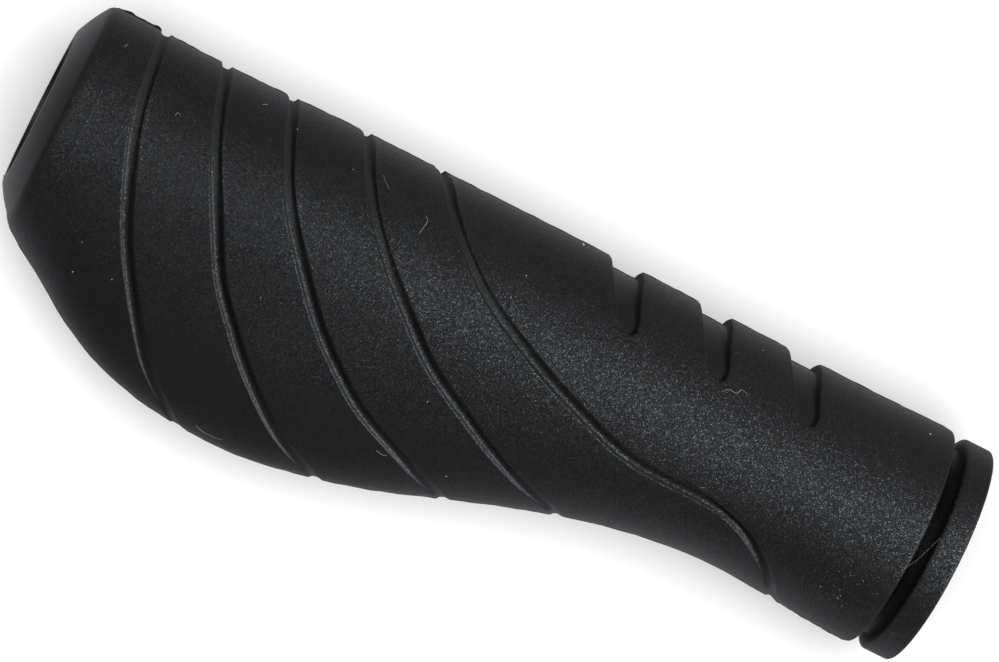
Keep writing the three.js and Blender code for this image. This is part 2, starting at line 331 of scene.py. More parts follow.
def curve_beside(curve, distance):
    """The curve beside another on the skin, towards the outer end if the distance is positive.

    It slides along itself near the finger and palm lines, where both halves meet in a mitre.
    """
    x, angle = curve.T
    points = skin_point(x, angle)
    along, around, outward = skin_directions(x, angle)
    forward = unit(np.gradient(points, axis=0))
    sideways = unit(np.cross(forward, outward))
    slide = -distance[[0, -1]] * sideways[[0, -1], 2] / forward[[0, -1], 2]
    from_finger = fade_out(np.linalg.norm(points - points[0], axis=1))
    from_palm = fade_out(np.linalg.norm(points - points[-1], axis=1))
    slid = slide[0] * from_finger + slide[1] * from_palm
    move = sideways * distance[:, None] + forward * slid[:, None]
    turn = ((move - along * move[:, :1]) * around).sum(axis=1) / (around ** 2).sum(axis=1)
    return np.stack([x + move[:, 0], angle + turn], axis=-1)


def straight_curve(x):
    """The curve straight round the skin at one place along the bore."""
    return np.stack([np.full(len(SHARES), float(x)), math.pi * (SHARES - 0.5)], axis=-1)


def slant_of(edge):
    """How much longer an edge is than its run round the bore."""
    return np.hypot(1, np.gradient(edge[:, 0]) / (np.gradient(edge[:, 1]) * BARREL_RADIUS))


def quarter_turn(steps):
    """Even angles over a rounded edge."""
    return [math.pi / 2 * step / steps for step in range(steps + 1)]


def curves_between(first, last, count):
    """Evenly placed curves between two others."""
    return [first + (last - first) * step / (count + 1) for step in range(1, count + 1)]


def waver(x):
    """A slow uneven run from 0 to 1 along the bore, the same every time."""
    return 0.5 + 0.2 * np.sin(1.31 * x + 0.4) + 0.18 * np.sin(2.93 * x + 1.9) + 0.12 * np.sin(6.7 * x)


class SleeveForm:
    """Gathers the sleeve's half rings from the bore's mouth over the skin and back through the bore."""

    def __init__(self, sizes):
        self.sizes = sizes
        self.rows = []
        self.layers = {"polish": [], "etch": [], "shade": []}

    def add(self, points, polish=0.0, angle=None, plain=0.0, shade=0.0):
        """One row: its points, how polished and plain they are, how much painted shade darkens them, and the
        angles where they stand.
        """
        self.rows.append(points)
        worn = 0.0 if angle is None else WORN_LOSS * ease(ramp(np.abs(np.degrees(angle)), *WORN_TURN))
        etch = (1 - worn) * (1 - POLISH_LOSS * np.asarray(polish)) * (1 - np.asarray(plain))
        for name, values in (("polish", polish), ("etch", etch), ("shade", shade)):
            self.layers[name].append(np.broadcast_to(values, len(points)))

    def add_round(self, x, radius, polish=0.0, shade=0.0):
        """A row on a circle round the bore's axis."""
        angle = math.pi * (SHARES - 0.5)
        points = np.stack([np.full(len(angle), x), radius * np.sin(angle), radius * np.cos(angle)], axis=-1)
        self.add(points, polish, angle, shade=shade)

    def add_skin(self, curve, depth=0.0, polish=0.0, plain=0.0, shade=0.0):
        """A row along a curve on the skin, sunk by a depth."""
        x, angle = curve.T
        lift = self.parting_lift(curve) - depth
        shade = np.array(np.broadcast_to(shade, len(curve)), float)
        # Painted shade along the parting line on the finger side's columns.
        edge = len(PARTING_SHADE)
        shade[:edge] = np.maximum(shade[:edge], PARTING_SHADE)
        points = skin_point(x, angle) + skin_directions(x, angle)[2] * lift[:, None]
        self.add(points, polish, angle, plain, shade)

    def parting_lift(self, curve):
        """How far a row stands up at the mould's parting line, which runs along both its ends."""
        lift = np.zeros(len(curve))
        height = self.sizes.parting_height / MM
        for column, share in enumerate(RIDGE_SECTION):
            lift[column] += height * (RIDGE_LOWEST + waver(curve[0, 0])) * share
            lift[-1 - column] += height * (RIDGE_LOWEST + waver(curve[-1, 0] + PALM_WAVER_START)) * share
        for place, reach, fin_height in FIN_SPOTS:
            fin = fin_height * math.exp(-((curve[0, 0] - place) / reach) ** 2)
            for column, share in enumerate(FIN_SECTION):
                lift[column] += fin * share
        return lift

    def outer_end(self):
        """The mouth, the cone and its rounded shoulder."""
        for along, outside in MOUTH_LIP:
            self.add_round(OUTER_END - along, BORE_RADIUS + outside, polish=1.0)
        self.rows[-1][-2:, 0] += (0.3 * MOUTH_NUB, MOUTH_NUB)
        for land in (0.35, 0.8):
            self.add_round(OUTER_END, BORE_RADIUS + land * MOUTH_LAND, polish=1.0)
        self.add_round(OUTER_END - MOUTH_EDGE, BORE_RADIUS + MOUTH_LAND, polish=1.0)
        mouth = self.rows[-1].copy()
        straight = straight_curve(0)[:, 1]
        foot = skin_point(
            np.full(len(straight), CONE_BASE), straight, SHOULDER_ROUNDING * (1 - math.cos(SHOULDER_ANGLE)))
        radial = np.stack([0 * straight, np.sin(straight), np.cos(straight)], axis=-1)
        outward = (radial * CONE_LENGTH + (CONE_RISE, 0, 0)) / CONE_SLANT
        for share in CONE_SHARES:
            bulge = outward * CONE_BULGE * 4 * share * (1 - share)
            self.add(mouth + (foot - mouth) * share + bulge, polish=1 - CONE_POLISH_LOSS * share)
        for step in range(SHOULDER_STEPS, 0, -1):
            angle = SHOULDER_ANGLE * step / SHOULDER_STEPS
            x = np.full(len(straight), SHOULDER + SHOULDER_ROUNDING * math.sin(angle))
            inset = SHOULDER_ROUNDING * (1 - math.cos(angle))
            self.add(skin_point(x, straight, inset), SHOULDER_POLISH * step / SHOULDER_STEPS, straight)

    def band(self):
        """The band behind the shoulder, up to the fine ring left by the mould's insert."""
        for x in BAND_ROWS:
            self.add_skin(straight_curve(x))
        ring = self.sizes.witness_height / MM
        for x, share in WITNESS_RING:
            self.add_skin(straight_curve(x), -ring * share)

    def grooves(self):
        """The skin with its slanting grooves."""
        half_width = self.sizes.groove_width / MM / 2
        depth = self.sizes.groove_depth / MM
        previous = straight_curve(GROOVES_START)
        self.add_skin(previous)
        for index, (place, route) in enumerate(GROOVES):
            middle = curve_on_skin(route, place, -1, SHARES)
            degrees = np.degrees(middle[:, 1])
            palmward = ramp(degrees, *PALM_TURN)
            strength = GROOVE_STRENGTH[index] * (FINGER_STRENGTH + (1 - FINGER_STRENGTH) * palmward)
            strength = strength * (1 - PALM_FADE_LOSS * ramp(degrees, *PALM_FADE))
            strength = strength + NOTCH_GAIN * ramp(degrees, *NOTCH_TURN)
            section = FINGER_SECTION[:, :, None] * (1 - palmward) + PALM_SECTION[:, :, None] * palmward
            reach = half_width * (1 - FINGER_NARROWING * (1 - palmward))
            beside = [curve_beside(middle, offset * reach) for offset in section[:, 0]]
            for curve in curves_between(previous, beside[0], FIRST_SPAN_ROWS if index == 0 else SPAN_ROWS):
                self.add_skin(curve)
            polish = FINGER_FLOOR_POLISH + (PALM_FLOOR_POLISH - FINGER_FLOOR_POLISH) * palmward
            # Painted shade on the finger side's groove floors.
            shade = GROOVE_SHADE * ramp(degrees, *SHADE_TURN)
            for curve, share in zip(beside, section[:, 1]):
                sunk = np.maximum(share, 0)
                self.add_skin(curve, depth * share * strength, polish=polish * sunk, shade=shade * sunk)
            previous = beside[-1]
        return previous

    def scallop_edge(self, knots, place, palm_place):
        """A scallop's edge from the finger line to its tip, then a seam over plain skin to the palm line."""
        on_edge = SHARES <= TIP_SHARE
        edge_shares = 1 - (1 - SHARES[on_edge] / TIP_SHARE) ** TIP_CROWDING
        edge = curve_on_skin(knots, place, 1, edge_shares)
        tip_x = place + knots[-1][1]
        run = (SHARES[~on_edge] - TIP_SHARE) / (1 - TIP_SHARE)
        seam_angle = SCALLOP_TIP + (math.pi / 2 - SCALLOP_TIP) * run
        seam_x = palm_place + (tip_x - palm_place) * (1 - run) ** 2
        return np.vstack([edge, np.stack([seam_x, seam_angle], axis=-1)])

    def scallop_pocket(self, outer, inner):
        """The rows of one scallop: a steep wall, the floor, and a softer wall darkened with painted shade."""
        depth = self.sizes.scallop_depth / MM
        scale = np.minimum((outer[:, 0] - inner[:, 0]) / slant_of(outer) / SCALLOP_FULL_WIDTH, 1)
        tip = skin_point(*outer[np.searchsorted(SHARES, TIP_SHARE)])
        from_tip = np.linalg.norm(skin_point(*outer.T) - tip, axis=1)
        fade = np.where(SHARES <= TIP_SHARE, ease(ramp(from_tip, 0, SCALLOP_FADE)), 0)
        shallow = 1 - SCALLOP_SHALLOWING * ramp(np.degrees(outer[:, 1]), *SHALLOWING_TURN)

        def moved(edge, distance):
            return np.stack([edge[:, 0] + distance * scale * slant_of(edge), edge[:, 1]], axis=-1)

        least, most = WALL_SHADE_BETWEEN
        rows = [(moved(outer, -distance), share, 0.0) for distance, share in STEEP_WALL]
        soft = [
            (moved(inner, distance), share, WALL_SHADE if least < share < most else 0.0)
            for distance, share in SOFT_WALL
        ]
        floor = [(curve, 1.0, 0.0) for curve in curves_between(rows[-1][0], soft[0][0], POCKET_FLOOR_ROWS)]
        for curve, share, shade in rows + floor + soft:
            sunk = share * fade
            self.add_skin(
                curve, depth * shallow * sunk, polish=POCKET_POLISH * sunk, plain=POCKET_PLAINNESS * sunk,
                shade=shade * fade)
        return soft[-1][0]

    def scallops(self, previous):
        """The barrel with its finger scallops, from the last groove to the barrel's rounded edge."""
        for number, (place, outer_palm, inner_palm) in enumerate(SCALLOPS):
            outer = self.scallop_edge(SCALLOP_OUTER_EDGE, place, outer_palm)
            inner = self.scallop_edge(SCALLOP_INNER_EDGE, place, inner_palm)
            for curve in curves_between(previous, outer, FIRST_BARREL_ROWS if number == 0 else BARREL_ROWS):
                self.add_skin(curve)
            previous = self.scallop_pocket(outer, inner)
        barrel_edge = straight_curve(BARREL_END + BARREL_EDGE_ROUNDING)
        for curve in curves_between(previous, barrel_edge, LAST_BARREL_ROWS):
            self.add_skin(curve)

    def inner_end(self):
        """The barrel's rounded edge, the neck in the channel, the stop flange and the bore."""
        straight = straight_curve(0)[:, 1]
        for angle in quarter_turn(BARREL_EDGE_STEPS):
            x = np.full(len(straight), BARREL_END + BARREL_EDGE_ROUNDING * (1 - math.sin(angle)))
            inset = BARREL_EDGE_ROUNDING * (1 - math.cos(angle))
            # Painted shade deepening as the rounded edge turns down into the channel.
            shade = BARREL_EDGE_SHADE * math.sin(angle) ** 6
            self.add(skin_point(x, straight, inset), 0, straight, shade=shade)
        for along, rise in CHANNEL_FILLET:
            self.add_round(BARREL_END - along, NECK_RADIUS + rise)
        for along, rise in reversed(CHANNEL_FILLET):
            # Painted shade in the channel's corner beside the flange.
            shade = CHANNEL_SHADE if along < CHANNEL_SHADE_REACH else 0.0
            self.add_round(FLANGE_THICKNESS + along, NECK_RADIUS + rise, shade=shade)
        rounding = self.sizes.flange_rounding / MM
        corner = [
            (rounding * (1 - math.sin(angle)), FLANGE_RADIUS - rounding * (1 - math.cos(angle)))
            for angle in quarter_turn(FLANGE_CORNER_STEPS)
        ]
        for along, radius in reversed(corner):
            self.add_round(FLANGE_THICKNESS - along, radius)
        for share in (0.7, 0.5, 0.3):
            self.add_round(FLANGE_THICKNESS * share, FLANGE_RADIUS)
        for along, radius in corner:
            self.add_round(along, radius)
        for outside in FLANGE_FACE_RINGS:
            self.add_round(0, BORE_RADIUS + outside, polish=FLANGE_FACE_POLISH)
        for x, outside in INNER_MOUTH:
            self.add_round(x, BORE_RADIUS + outside, polish=1.0)
        for x in np.linspace(3, OUTER_END - 0.8, BORE_ROWS):
            self.add_round(x, BORE_RADIUS, polish=1.0)

    def rings(self):
        """All rows as closed rings with their layers, the back half mirrored from the front."""
        self.outer_end()
        self.band()
        self.scallops(self.grooves())
        self.inner_end()
        half = np.array(self.rows)
        half[:, [0, -1], 2] = 0
        back = half[:, -2:0:-1] * (1, 1, -1)
        layers = {name: np.array(values) for name, values in self.layers.items()}
        layers = {name: np.concatenate([layer, layer[:, -2:0:-1]], axis=1) for name, layer in layers.items()}
        return np.concatenate([half, back], axis=1), layers


def ring_faces(rows, columns):
    """Quads between neighbouring rings, the last ring joining the first."""
    row, column = np.meshgrid(np.arange(rows), np.arange(columns), indexing="ij")
    next_row, next_column = (row + 1) % rows, (column + 1) % columns
    corners = (
        row * columns + column, row * columns + next_column,
        next_row * columns + next_column, next_row * columns + column)
    return np.stack(corners, axis=-1).reshape(-1, 4)


def new_object(name, points, faces):
    """An object with smooth faces from points in millimetres."""
    mesh = bpy.data.meshes.new(name)
    mesh.from_pydata((np.asarray(points) * MM).tolist(), [], [list(map(int, face)) for face in faces])
    mesh.polygons.foreach_set("use_smooth", np.ones(len(mesh.polygons), bool))
    mesh.update()
    piece = bpy.data.objects.new(name, mesh)
    bpy.context.scene.collection.objects.link(piece)
    return piece


class NodeBench:
    """Adds nodes to a material or a world and links them as they are named."""

    def __init__(self, owner):
        self.owner = owner
        self.owner.use_nodes = True
        self.tree = self.owner.node_tree
        self.tree.nodes.clear()

    def add(self, kind, inputs=None, **settings):
        node = self.tree.nodes.new("ShaderNode" + kind)
        for name, value in settings.items():
            setattr(node, name, value)
        for socket, value in (inputs or {}).items():
            if isinstance(value, bpy.types.NodeSocket):
                self.tree.links.new(value, node.inputs[socket])
            else:
                node.inputs[socket].default_value = value
        return node

    def math(self, operation, first, second=0.5):
        return self.add("Math", {0: first, 1: second}, operation=operation).outputs[0]

    def remap(self, value, low, high, to_low, to_high):
        inputs = {"Value": value, "From Min": low, "From Max": high, "To Min": to_low, "To Max": to_high}
        return self.add("MapRange", inputs).outputs["Result"]

    def mix(self, factor, first, second):
        node = self.add("Mix", {0: factor, 6: first, 7: second}, data_type="RGBA")
        return node.outputs[2]

    def finish(self, shader, output="OutputMaterial"):
        self.add(output, {"Surface": shader.outputs[0]})
        return self.owner


def rubber_material(finish):
    """Satin black rubber with an etched grain, smoother where the mould was polished and paler there, partly
    as a painted sheen, with painted glints on bright grains and painted shade where the shade layer lies.
    """
    bench = NodeBench(bpy.data.materials.new("moulded_rubber"))
    place = bench.add("TexCoord").outputs["Object"]
    in_mm = bench.add("VectorMath", {0: place, "Scale": 1 / MM}, operation="SCALE").outputs[0]
    polish = bench.add("Attribute", attribute_name="polish").outputs["Fac"]
    grain_scale = 1 / (finish.grain_size / MM)
    grains = bench.add("TexVoronoi", {"Vector": in_mm, "Scale": grain_scale, "Randomness": 1.0})
    grain = bench.add("SeparateColor", {0: grains.outputs["Color"]}).outputs
    random_lean = bench.add(
        "VectorMath", {0: grains.outputs["Color"], 1: (2, 2, 2), 2: (-1, -1, -1)}, operation="MULTIPLY_ADD")
    from_middle = bench.add("VectorMath", {0: in_mm, 1: grains.outputs["Position"]}, operation="SUBTRACT")
    facet = bench.add(
        "VectorMath", {0: random_lean.outputs[0], 1: from_middle.outputs[0]}, operation="DOT_PRODUCT")
    broad = bench.add("TexNoise", {"Vector": in_mm, "Scale": 0.12, "Detail": 3.0})
    scuffs = bench.add("TexNoise", {"Vector": in_mm, "Scale": 1.1, "Detail": 4.0, "Roughness": 0.7})
    etched = bench.add("Attribute", attribute_name="etch").outputs["Fac"]
    height = bench.math("MULTIPLY", facet.outputs["Value"], bench.math("MULTIPLY", etched, finish.grain_lean))
    bump = bench.add("Bump", {"Height": height, "Strength": 1.0, "Distance": MM})
    sparkle = bench.math("MULTIPLY", bench.remap(grain["Red"], *BRIGHT_GRAINS, 0.0, 1.0), etched)
    warmth = bench.math("MULTIPLY", bench.remap(grain["Green"], *WARM_GRAINS, 0.0, WARMTH), etched)
    dull = bench.remap(broad.outputs["Fac"], *DULL_PATCHES, 0.0, 1.0)
    skin = bench.mix(dull, (*finish.rubber_colour, 1), (*finish.dull_colour, 1))
    skin = bench.mix(warmth, skin, (*finish.warm_colour, 1))
    # Painted glint: random bright grains are made paler and bluer than the rubber, beside their real lower
    # roughness.
    skin = bench.mix(sparkle, skin, (*finish.grain_glint_colour, 1))
    scuffed = bench.remap(scuffs.outputs["Fac"], *SCUFFS, 0.0, 1.0)
    # The polished colour is partly the rubber's own and partly a painted sheen, paler than the etched rubber,
    # mottled in scuffs.
    mottled_sheen = bench.mix(scuffed, (*finish.polished_sheen_colour, 1), (*finish.scuffed_sheen_colour, 1))
    colour = bench.mix(bench.math("MULTIPLY", polish, POLISHED_SHEEN_SHARE), skin, mottled_sheen)
    # Painted shade: the shade layer mixes the colour towards the painted shade colour and makes the rubber
    # rougher.
    shade = bench.add("Attribute", attribute_name="shade").outputs["Fac"]
    colour = bench.mix(shade, colour, (*finish.painted_shade_colour, 1))
    roughness = bench.remap(sparkle, 0.0, 1.0, finish.roughness, finish.sparkle_roughness)
    uneven = bench.remap(scuffs.outputs["Fac"], 0.3, 0.7, -SCUFF_ROUGHNESS, SCUFF_ROUGHNESS)
    roughness = bench.math("ADD", roughness, uneven)
    roughness = bench.math("ADD", roughness, bench.math("MULTIPLY", shade, SHADE_ROUGHNESS))
    shader = bench.add("BsdfPrincipled", {
        "Base Color": colour, "Roughness": roughness, "Normal": bump.outputs[0],
        "IOR": 1.5, "Specular IOR Level": finish.specular, "Specular Tint": (*finish.sheen_tint, 1),
        "Coat Weight": bench.remap(polish, *COATED_POLISH, 0.0, COAT_WEIGHT),
        "Coat Roughness": COAT_ROUGHNESS,
    })
    return bench.finish(shader)


def fibre_material(finish):
    """Pale dust and lint, a little uneven in colour."""
    bench = NodeBench(bpy.data.materials.new("lint"))
    place = bench.add("TexCoord").outputs["Object"]
    patches = bench.add("TexNoise", {"Vector": place, "Scale": 900.0, "Detail": 2.0})
    factor = bench.remap(patches.outputs["Fac"], 0.4, 0.6, 0.0, 1.0)
    colour = bench.mix(factor, (*finish.lint_colour, 1), (*finish.straw_colour, 1))
    shader = bench.add("BsdfPrincipled", {"Base Color": colour, "Roughness": 0.8, "Specular IOR Level": 0.2})
    return bench.finish(shader)


def floor_material(stage):
    """A matt pale floor with the faintest mottling."""
    bench = NodeBench(bpy.data.materials.new("pale_floor"))
    place = bench.add("TexCoord").outputs["Object"]
    cloud = bench.add("TexNoise", {"Vector": place, "Scale": 3.0, "Detail": 2.0})
    lighter = tuple(min(channel * 1.02, 1) for channel in stage.floor_colour)
    colour = bench.mix(cloud.outputs["Fac"], (*stage.floor_colour, 1), (*lighter, 1))
    shader = bench.add("BsdfPrincipled", {"Base Color": colour, "Roughness": 0.9, "Specular IOR Level": 0.1})
    return bench.finish(shader)


def tube_along(points, radius, sides=5):
    """Points and faces of a thin closed tube along a line, in millimetres."""
    points = np.asarray(points, float)
    forward = unit(np.gradient(points, axis=0))
    side = unit(np.cross(forward, (0.31, 0.17, 0.93)))
    up = np.cross(forward, side)
    turns = 2 * math.pi * np.arange(sides) / sides
    thickness = radius * np.sin(np.linspace(0.25, math.pi - 0.25, len(points))) ** 0.4
    ring = np.cos(turns)[None, :, None] * side[:, None] + np.sin(turns)[None, :, None] * up[:, None]
    rings = points[:, None] + ring * thickness[:, None, None]
    faces = [
        (row * sides + turn, row * sides + (turn + 1) % sides,
         (row + 1) * sides + (turn + 1) % sides, (row + 1) * sides + turn)
        for row in range(len(points) - 1) for turn in range(sides)
    ]
    last = (len(points) - 1) * sides
    faces += [tuple(range(sides))[::-1], tuple(last + turn for turn in range(sides))]
    return rings.reshape(-1, 3), faces


# Fibres on the skin: places along the bore in millimetres and angles in degrees, then the radius.
FIBRES = (
    ((87.1, -37), (86.5, -35), (86.6, -31), (86.9, -26), 0.026),
    ((94.5, -48), (93.7, -44), (92.9, -41), 0.02),
    ((40.0, -24), (39.2, -27), (38.0, -27), (37.5, -30), (36.4, -29), 0.026),
    ((123.6, -25), (123.4, -27), (122.8, -26), 0.02),
    ((133.7, -47), (133.4, -50), 0.02),
    ((113.4, -56), (112.7, -58), 0.02),
    ((78.1, 60), (77.2, 61), (76.5, 61), 0.026),
    ((36.8, 23), (36.1, 21), 0.026),
    ((101.5, 78), (100.2, 80), (98.7, 80), (97.3, 79), 0.02),
    ((52.0, 112), (49.5, 116), (47.5, 113), 0.024),
    ((101.0, 128), (99.4, 124), (98.9, 119), 0.024),
)
# A hair that spans the channel, as places and angles.
HAIR_OVER_CHANNEL = ((7.4, 19), (6.8, 15), (6.2, 11), (5.5, 6), (4.9, 0), (4.0, -8))
HAIR_RADIUS = 0.014

# Specks of dust: place along the bore, angle, radius.
SPECKS = (
    (126.2, 58, 0.1), (127.0, 45, 0.06), (121.1, 49, 0.09), (125.1, 1, 0.07), (102.2, 29, 0.09),
    (107.7, -50, 0.07), (98.6, -42, 0.08), (75.4, 37, 0.1), (67.8, 64, 0.09), (36.4, -61, 0.08),
    (32.7, 0, 0.1), (17.6, -3, 0.08), (10.2, -62, 0.13), (64.8, -76, 0.17), (85.9, 7, 0.06),
    (71.1, -32, 0.09), (71.1, -65, 0.07), (40.0, -1, 0.07),
)

# Lint caught near the barrel's edge: the patch's middle and spread, then its fibres' radius and stretch.
SCUFF_PATCH = ((13.0, 37.0), (2.2, 12.0))
SCUFF_NEAREST = 8
SCUFF_SIZES = ((0.013, 0.027), (3, 9))
SCUFF_COUNT = 34

# Fine dust all over: ranges of its place and angle, then of its radius and stretch.
DUST_PLACES = ((9, 134), (-85, 265))
DUST_SIZES = ((0.015, 0.035), (1.0, 2.5))
DUST_COUNT = 90
DUST_SEED = 7

# The camera, in metres and degrees.
CAMERA_PLACE = (0.1654, -0.0006, 0.855)
CAMERA_SWING, CAMERA_ROLL = 6.41, 26.59
CAMERA_LENS, SENSOR_WIDTH = 223.9, 36.0

# What the lights point at, then each light's place and its length and depth, in metres.
LIT_POINT = (0.07, 0, 0)
KEY_LIGHT = ((-1.81, -0.24, 1.66), (0.8, 0.6))
END_LIGHT = ((0.38, -0.1, 1.1), (0.5, 0.3))
WASH_LIGHT = ((0.07, 0, 1.3), (1.6, 1.6))

# The room turns from pale to dim between these heights, and the pale part reaches higher beside the palm.
ROOM_HEIGHTS = (-0.8, -0.12)
PALE_RISE = 0.2


class GripSizes(bpy.types.PropertyGroup):
    """Sizes of the moulded details."""

    groove_width: bpy.props.FloatProperty(
        name="Groove width", description="Width of a slanting groove between its lips",
        default=1.9 * MM, min=0.5 * MM, max=4 * MM, unit="LENGTH", subtype="DISTANCE", precision=5)
    groove_depth: bpy.props.FloatProperty(
        name="Groove depth", description="Depth of a slanting groove",
        default=0.68 * MM, min=0.1 * MM, max=1.5 * MM, unit="LENGTH", subtype="DISTANCE", precision=5)
    scallop_depth: bpy.props.FloatProperty(
        name="Scallop depth", description="Depth of a finger scallop",
        default=1.3 * MM, min=0.3 * MM, max=2 * MM, unit="LENGTH", subtype="DISTANCE", precision=5)
    parting_height: bpy.props.FloatProperty(
        name="Parting ridge", description="Height of the ridge along the mould's parting line",
        default=0.12 * MM, min=0.0, max=0.3 * MM, unit="LENGTH", subtype="DISTANCE", precision=5)
    witness_height: bpy.props.FloatProperty(
        name="Witness ring", description="Height of the fine ring that the mould's insert leaves",
        default=0.018 * MM, min=0.0, max=0.2 * MM, unit="LENGTH", subtype="DISTANCE", precision=5)
    flange_rounding: bpy.props.FloatProperty(
        name="Flange rounding", description="Radius of the stop flange's edges",
        default=0.45 * MM, min=0.1 * MM, max=1.5 * MM, unit="LENGTH", subtype="DISTANCE", precision=5)


class GripFinish(bpy.types.PropertyGroup):
    """Colours and surface of the rubber and the dust on it."""

    rubber_colour: bpy.props.FloatVectorProperty(
        name="Rubber", description="Colour of the rubber", default=(0.0072, 0.0069, 0.0066),
        min=0, max=1, subtype="COLOR")
    dull_colour: bpy.props.FloatVectorProperty(
        name="Dull rubber", description="Colour of the rubber where it has dulled",
        default=(0.0088, 0.0084, 0.008), min=0, max=1, subtype="COLOR")
    # Painted glint: the paler, bluer colour of the random grains that catch the light.
    grain_glint_colour: bpy.props.FloatVectorProperty(
        name="Grain tips", description="Colour of the tips of the etched grain",
        default=(0.018, 0.0205, 0.025), min=0, max=1, subtype="COLOR")
    warm_colour: bpy.props.FloatVectorProperty(
        name="Warm grains", description="Colour of the odd warmer grain", default=(0.022, 0.017, 0.011),
        min=0, max=1, subtype="COLOR")
    # Partly a painted sheen: where the mould was polished the rubber is made paler than the etched rubber,
    # and mottled in scuffs.
    polished_sheen_colour: bpy.props.FloatVectorProperty(
        name="Polished rubber", description="Colour where the mould was polished, as on the conical end",
        default=(0.034, 0.038, 0.036), min=0, max=1, subtype="COLOR")
    scuffed_sheen_colour: bpy.props.FloatVectorProperty(
        name="Scuffed cone", description="Second colour of the conical end, in its scuffs",
        default=(0.042, 0.047, 0.044), min=0, max=1, subtype="COLOR")
    # Painted shade: the dark colour laid in the channel, on scallop walls and groove floors, and along the
    # parting line.
    painted_shade_colour: bpy.props.FloatVectorProperty(
        name="Dead black", description="Colour in the channel and along the mould's parting line",
        default=(0.0075, 0.0062, 0.006), min=0, max=1, subtype="COLOR")
    lint_colour: bpy.props.FloatVectorProperty(
        name="Lint", description="Colour of lint and dust", default=(0.5, 0.48, 0.45),
        min=0, max=1, subtype="COLOR")
    straw_colour: bpy.props.FloatVectorProperty(
        name="Straw lint", description="Second colour of lint and dust", default=(0.42, 0.34, 0.2),
        min=0, max=1, subtype="COLOR")
    roughness: bpy.props.FloatProperty(
        name="Roughness", description="Roughness of the satin rubber", default=0.48,
        min=0, max=1, subtype="FACTOR")
    sparkle_roughness: bpy.props.FloatProperty(
        name="Sparkle roughness", description="Roughness of the grains that catch the light", default=0.4,
        min=0, max=1, subtype="FACTOR")
    specular: bpy.props.FloatProperty(
        name="Specular", description="Strength of the rubber's reflections", default=0.45,
        min=0, max=1, subtype="FACTOR")
    sheen_tint: bpy.props.FloatVectorProperty(
        name="Sheen tint", description="Colour of the rubber's reflections seen straight on",
        default=(0.85, 0.925, 1.0), min=0, max=1, subtype="COLOR")
    grain_size: bpy.props.FloatProperty(
        name="Grain size", description="Width of one grain of the etched surface",
        default=0.125 * MM, min=0.05 * MM, max=2 * MM, unit="LENGTH", subtype="DISTANCE", precision=5)
    grain_lean: bpy.props.FloatProperty(
        name="Grain lean", description="How steeply the grains of the etched surface lean", default=0.28,
        min=0, max=1, subtype="FACTOR")


class GripStage(bpy.types.PropertyGroup):
    """The studio round the grip."""

    floor_colour: bpy.props.FloatVectorProperty(
        name="Floor", description="Colour of the floor", default=(0.86, 0.86, 0.86),
        min=0, max=1, subtype="COLOR")
    floor_size: bpy.props.FloatProperty(
        name="Floor size", description="Length of the floor's side", default=6.0,
        min=1, max=20, unit="LENGTH", subtype="DISTANCE")
    key_power: bpy.props.FloatProperty(
        name="Main light", description="Power of the soft light off the flange's end", default=75.5,
        min=0, unit="POWER")
    wash_power: bpy.props.FloatProperty(
        name="Floor light", description="Power of the large soft light that falls on the floor alone",
        default=38.0, min=0, unit="POWER")
    end_power: bpy.props.FloatProperty(
        name="Second light", description="Power of the weaker light over the conical end", default=2.1,
        min=0, unit="POWER")
    world_strength: bpy.props.FloatProperty(
        name="Room", description="Strength of the even light of the room", default=0.06, min=0, max=5)
    room_colour: bpy.props.FloatVectorProperty(
        name="Room colour", description="Colour of the light of the room", default=(0.965, 0.93, 1.0),
        min=0, max=1, subtype="COLOR")
    low_strength: bpy.props.FloatProperty(
        name="Room below", description="Strength of the pale room under the grip, seen in its flanks",
        default=0.55, min=0, max=5)


class GRIP_OT_sleeve(bpy.types.Operator):
    """Make the moulded rubber sleeve with its grooves, scallops, channel, flange and bore"""

    bl_idname = "grip.sleeve"
    bl_label = "Rubber Sleeve"
    bl_options = {"REGISTER", "UNDO"}

    def execute(self, context):
        rings, layers = SleeveForm(context.scene.grip_sizes).rings()
        if not np.isfinite(rings).all():
            raise RuntimeError("the sleeve's form has points that are not numbers")
        sleeve = new_object("sleeve", rings.reshape(-1, 3), ring_faces(*rings.shape[:2]))
        for name, values in layers.items():
            layer = sleeve.data.attributes.new(name, "FLOAT", "POINT")
            layer.data.foreach_set("value", values.astype(np.float32).ravel())
        sleeve.data.materials.append(rubber_material(context.scene.grip_finish))
        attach(sleeve, "root")
        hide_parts("grip")
        return {"FINISHED"}


